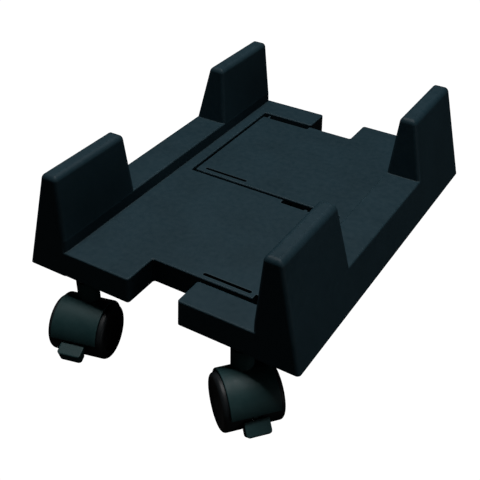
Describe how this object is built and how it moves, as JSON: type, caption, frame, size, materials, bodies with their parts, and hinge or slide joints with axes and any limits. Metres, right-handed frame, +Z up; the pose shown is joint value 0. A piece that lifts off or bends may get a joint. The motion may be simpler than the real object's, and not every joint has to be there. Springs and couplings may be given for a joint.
{
  "type": "mobile computer tower stand",
  "caption": "Low black plastic stand on twin-wheel casters that holds a computer tower upright between four raised side fins; its two halves slide apart to suit the tower.",
  "frame": {"origin": "on the floor, under the middle of the whole stand's box", "axes": "+X towards the right half, which slides that way; +Y from front to back; +Z up"},
  "size_m": [0.191, 0.289, 0.119],
  "materials": {
    "frame_plastic": "fine spark-eroded grain, satin black",
    "caster_plastic": "fine grain, slightly glossier black",
    "wheel_plastic": "smooth satin black",
    "zinc_steel": "bright zinc plate",
    "spring_steel": "oiled spring steel"
  },
  "bodies": {
    "left_frame": {"left_frame": "frame_plastic", "front_left_stem": "zinc_steel", "front_left_grip_ring": "spring_steel", "rear_left_stem": "zinc_steel", "rear_left_grip_ring": "spring_steel"},
    "right_frame": {"right_frame": "frame_plastic", "front_right_stem": "zinc_steel", "front_right_grip_ring": "spring_steel", "rear_right_stem": "zinc_steel", "rear_right_grip_ring": "spring_steel"},
    "front_left_caster": {"front_left_hood": "caster_plastic", "front_left_axle": "zinc_steel", "front_left_brake_pin": "zinc_steel"},
    "front_left_wheel_a": {"front_left_wheel_a": "wheel_plastic"},
    "front_left_wheel_b": {"front_left_wheel_b": "wheel_plastic"},
    "front_left_brake": {"front_left_brake_lever": "caster_plastic"},
    "front_right_caster": {"front_right_hood": "caster_plastic", "front_right_axle": "zinc_steel", "front_right_brake_pin": "zinc_steel"},
    "front_right_wheel_a": {"front_right_wheel_a": "wheel_plastic"},
    "front_right_wheel_b": {"front_right_wheel_b": "wheel_plastic"},
    "front_right_brake": {"front_right_brake_lever": "caster_plastic"},
    "rear_left_caster": {"rear_left_hood": "caster_plastic", "rear_left_axle": "zinc_steel"},
    "rear_left_wheel_a": {"rear_left_wheel_a": "wheel_plastic"},
    "rear_left_wheel_b": {"rear_left_wheel_b": "wheel_plastic"},
    "rear_right_caster": {"rear_right_hood": "caster_plastic", "rear_right_axle": "zinc_steel"},
    "rear_right_wheel_a": {"rear_right_wheel_a": "wheel_plastic"},
    "rear_right_wheel_b": {"rear_right_wheel_b": "wheel_plastic"}
  },
  "joints": [
    {"name": "width_slide", "type": "slide", "parent": "left_frame", "child": "right_frame", "axis": [1, 0, 0], "range_m": [0, 0.075]},
    {"name": "front_left_swivel", "type": "hinge", "parent": "left_frame", "child": "front_left_caster", "pos_m": [-0.056, -0.10975, 0.045], "axis": [0, 0, 1], "continuous": true},
    {"name": "front_left_roll_a", "type": "hinge", "parent": "front_left_caster", "child": "front_left_wheel_a", "pos_m": [-0.05411, -0.11731, 0.0175], "axis": [0.9703, 0.2419, 0], "continuous": true},
    {"name": "front_left_roll_b", "type": "hinge", "parent": "front_left_caster", "child": "front_left_wheel_b", "pos_m": [-0.05411, -0.11731, 0.0175], "axis": [0.9703, 0.2419, 0], "continuous": true},
    {"name": "front_left_brake_pivot", "type": "hinge", "parent": "front_left_caster", "child": "front_left_brake", "pos_m": [-0.0506, -0.13138, 0.017], "axis": [0.9703, 0.2419, 0], "range_deg": [0, 28]},
    {"name": "front_right_swivel", "type": "hinge", "parent": "right_frame", "child": "front_right_caster", "pos_m": [0.056, -0.10975, 0.045], "axis": [0, 0, 1], "continuous": true},
    {"name": "front_right_roll_a", "type": "hinge", "parent": "front_right_caster", "child": "front_right_wheel_a", "pos_m": [0.06194, -0.1148, 0.0175], "axis": [0.6481, 0.7615, 0], "continuous": true},
    {"name": "front_right_roll_b", "type": "hinge", "parent": "front_right_caster", "child": "front_right_wheel_b", "pos_m": [0.06194, -0.1148, 0.0175], "axis": [0.6481, 0.7615, 0], "continuous": true},
    {"name": "front_right_brake_pivot", "type": "hinge", "parent": "front_right_caster", "child": "front_right_brake", "pos_m": [0.07298, -0.1242, 0.017], "axis": [0.6481, 0.7615, 0], "range_deg": [-28, 0]},
    {"name": "rear_left_swivel", "type": "hinge", "parent": "left_frame", "child": "rear_left_caster", "pos_m": [-0.056, 0.12525, 0.045], "axis": [0, 0, 1], "continuous": true},
    {"name": "rear_left_roll_a", "type": "hinge", "parent": "rear_left_caster", "child": "rear_left_wheel_a", "pos_m": [-0.05789, 0.11769, 0.0175], "axis": [0.9703, -0.2419, 0], "continuous": true},
    {"name": "rear_left_roll_b", "type": "hinge", "parent": "rear_left_caster", "child": "rear_left_wheel_b", "pos_m": [-0.05789, 0.11769, 0.0175], "axis": [0.9703, -0.2419, 0], "continuous": true},
    {"name": "rear_right_swivel", "type": "hinge", "parent": "right_frame", "child": "rear_right_caster", "pos_m": [0.056, 0.12525, 0.045], "axis": [0, 0, 1], "continuous": true},
    {"name": "rear_right_roll_a", "type": "hinge", "parent": "rear_right_caster", "child": "rear_right_wheel_a", "pos_m": [0.05003, 0.12024, 0.0175], "axis": [0.6428, -0.766, 0], "continuous": true},
    {"name": "rear_right_roll_b", "type": "hinge", "parent": "rear_right_caster", "child": "rear_right_wheel_b", "pos_m": [0.05003, 0.12024, 0.0175], "axis": [0.6428, -0.766, 0], "continuous": true}
  ]
}
